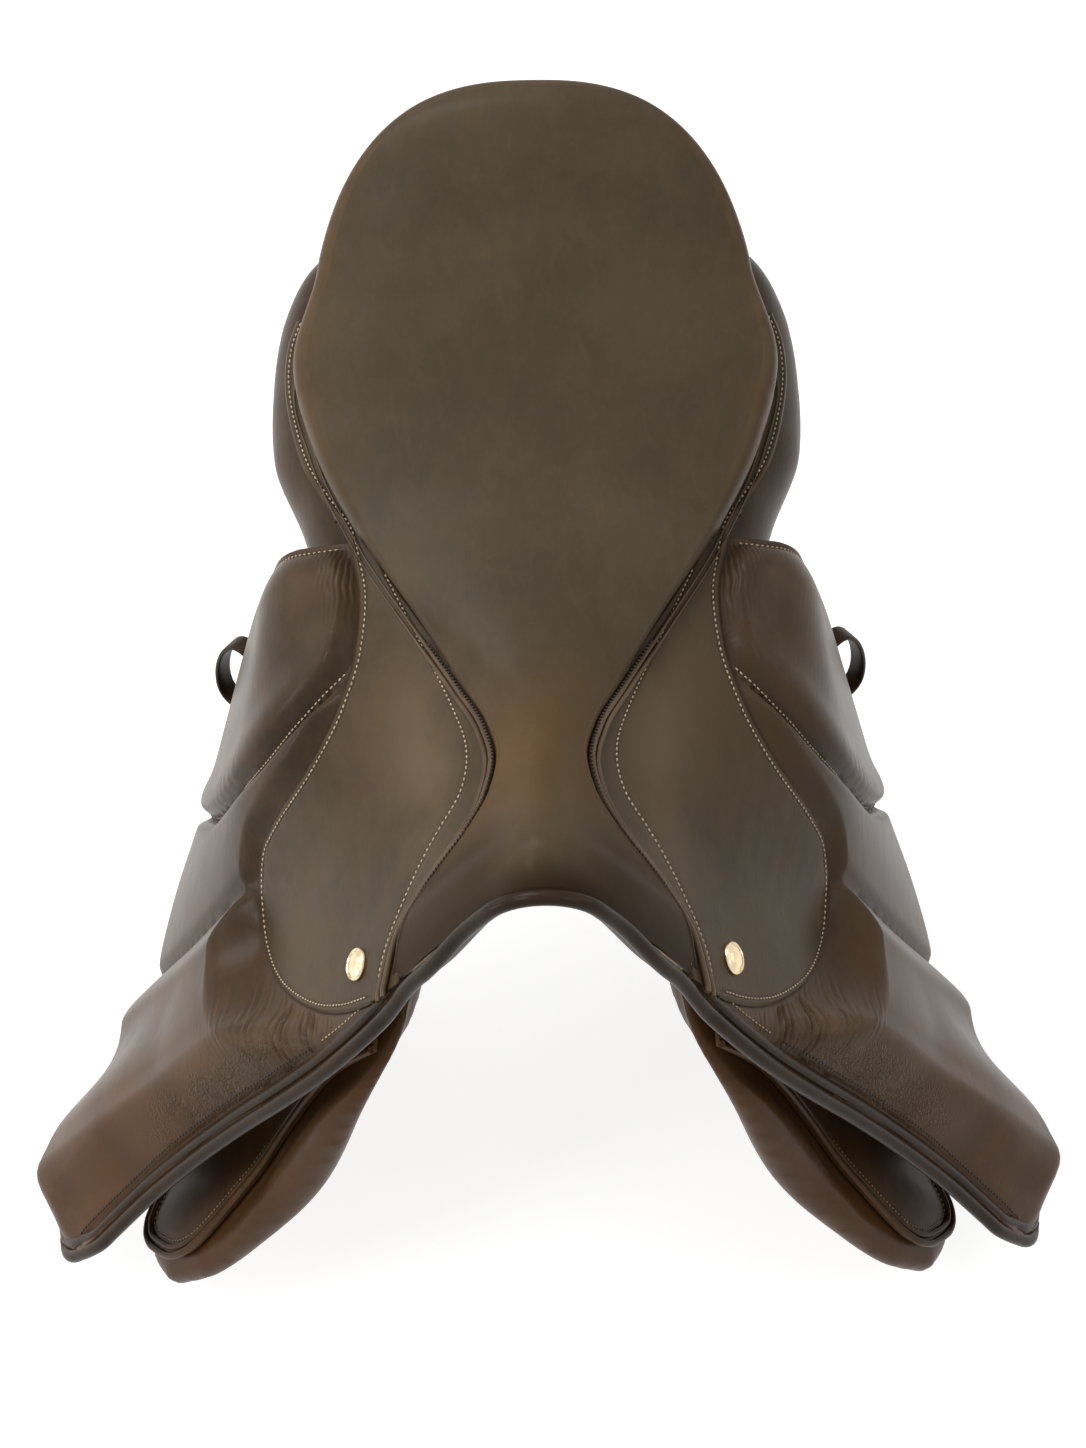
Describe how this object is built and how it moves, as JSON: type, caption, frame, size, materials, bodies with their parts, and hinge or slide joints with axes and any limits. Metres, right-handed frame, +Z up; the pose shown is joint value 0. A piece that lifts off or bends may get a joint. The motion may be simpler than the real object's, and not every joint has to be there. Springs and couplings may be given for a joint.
{
  "type": "jumping saddle",
  "caption": "Close-contact jumping saddle with a deep padded seat, narrow waist, raised cantle and forward-cut padded flaps over knee blocks and stuffed panels.",
  "frame": {"origin": "on the horse's back line, under the deepest place of the seat, midway between the panels", "axes": "+Z up, -Y towards the pommel and the horse's head, +Y towards the cantle, +X towards the rider's left"},
  "size_m": [0.5782, 0.5115, 0.489],
  "materials": {
    "seat_leather": "smooth, semi-matte, dark olive brown",
    "skirt_leather": "smooth, semi-matte, dark brown with a grey-green sheen",
    "flap_leather": "smooth, semi-matte, dark brown, creased at the bends",
    "panel_leather": "smooth, reddish dark brown",
    "strap_leather": "waxed strap leather with sealed edges",
    "foam": "open foam",
    "linen_web": "woven linen web",
    "beech_ply": "laminated beech",
    "steel": "pressed steel",
    "pale_gold": "polished, pale gold"
  },
  "bodies": {
    "saddle": {"tree_frame": "beech_ply", "head_plate": "steel", "gullet_plate": "steel", "spring_left": "steel", "spring_right": "steel", "stirrup_bar_left": "steel", "stirrup_bar_right": "steel", "catch_pin_left": "steel", "catch_pin_right": "steel", "seat_webbing": "linen_web", "girth_web_left": "linen_web", "girth_web_right": "linen_web", "seat_foam": "foam", "seat_cover": "seat_leather", "pommel_roll": "seat_leather", "seat_welt_left": "seat_leather", "seat_welt_right": "seat_leather", "cantle_facing": "seat_leather", "skirt_base_left": "skirt_leather", "skirt_base_right": "skirt_leather", "saddle_nail_left": "pale_gold", "saddle_nail_right": "pale_gold", "flap_top_left": "flap_leather", "flap_top_right": "flap_leather", "point_pocket_left": "strap_leather", "point_pocket_right": "strap_leather", "sweat_flap_left": "panel_leather", "sweat_flap_right": "panel_leather", "knee_block_left": "panel_leather", "knee_block_right": "panel_leather", "thigh_block_left": "panel_leather", "thigh_block_right": "panel_leather", "panel_left": "panel_leather", "panel_right": "panel_leather", "gullet_lining": "panel_leather"},
    "skirt_left_body": {"skirt_left": "skirt_leather"},
    "flap_left_body": {"flap_left": "flap_leather", "flap_pad_left": "flap_leather", "flap_binding_left": "flap_leather", "keeper_left": "strap_leather"},
    "girth_straps_left": {"girth_strap_front_left": "strap_leather", "girth_strap_middle_left": "strap_leather", "girth_strap_rear_left": "strap_leather"},
    "strap_guard_left_body": {"strap_guard_left": "strap_leather"},
    "bar_catch_left_body": {"bar_catch_left": "steel"},
    "skirt_right_body": {"skirt_right": "skirt_leather"},
    "flap_right_body": {"flap_right": "flap_leather", "flap_pad_right": "flap_leather", "flap_binding_right": "flap_leather", "keeper_right": "strap_leather"},
    "girth_straps_right": {"girth_strap_front_right": "strap_leather", "girth_strap_middle_right": "strap_leather", "girth_strap_rear_right": "strap_leather"},
    "strap_guard_right_body": {"strap_guard_right": "strap_leather"},
    "bar_catch_right_body": {"bar_catch_right": "steel"}
  },
  "joints": [
    {"name": "skirt_lift_left", "type": "hinge", "parent": "saddle", "child": "skirt_left_body", "pos_m": [0.09825, -0.126, 0.03725], "axis": [0.0548, -0.9558, -0.2889], "range_deg": [0, 60]},
    {"name": "flap_lift_left", "type": "hinge", "parent": "saddle", "child": "flap_left_body", "pos_m": [0.17624, -0.121, -0.05564], "axis": [0.0832, -0.9848, -0.1528], "range_deg": [0, 85]},
    {"name": "straps_swing_left", "type": "hinge", "parent": "saddle", "child": "girth_straps_left", "pos_m": [0.11959, -0.071, 0.01656], "axis": [0.963, 0.0015, 0.2695], "range_deg": [-3, 3]},
    {"name": "guard_slide_left", "type": "slide", "parent": "girth_straps_left", "child": "strap_guard_left_body", "axis": [0.2691, 0, -0.9631], "range_m": [0, 0.02]},
    {"name": "catch_turn_left", "type": "hinge", "parent": "saddle", "child": "bar_catch_left_body", "pos_m": [0.0905, -0.13146, 0.02511], "axis": [0.7876, -0.0797, 0.611], "range_deg": [0, 90]},
    {"name": "skirt_lift_right", "type": "hinge", "parent": "saddle", "child": "skirt_right_body", "pos_m": [-0.09825, -0.126, 0.03725], "axis": [0.0548, 0.9558, 0.2889], "range_deg": [0, 60]},
    {"name": "flap_lift_right", "type": "hinge", "parent": "saddle", "child": "flap_right_body", "pos_m": [-0.17624, -0.121, -0.05564], "axis": [0.0832, 0.9848, 0.1528], "range_deg": [0, 85]},
    {"name": "straps_swing_right", "type": "hinge", "parent": "saddle", "child": "girth_straps_right", "pos_m": [-0.11959, -0.071, 0.01656], "axis": [0.963, -0.0015, -0.2695], "range_deg": [-3, 3]},
    {"name": "guard_slide_right", "type": "slide", "parent": "girth_straps_right", "child": "strap_guard_right_body", "axis": [-0.2691, 0, -0.9631], "range_m": [0, 0.02]},
    {"name": "catch_turn_right", "type": "hinge", "parent": "saddle", "child": "bar_catch_right_body", "pos_m": [-0.0905, -0.13146, 0.02511], "axis": [0.7876, 0.0797, -0.611], "range_deg": [0, 90]}
  ]
}
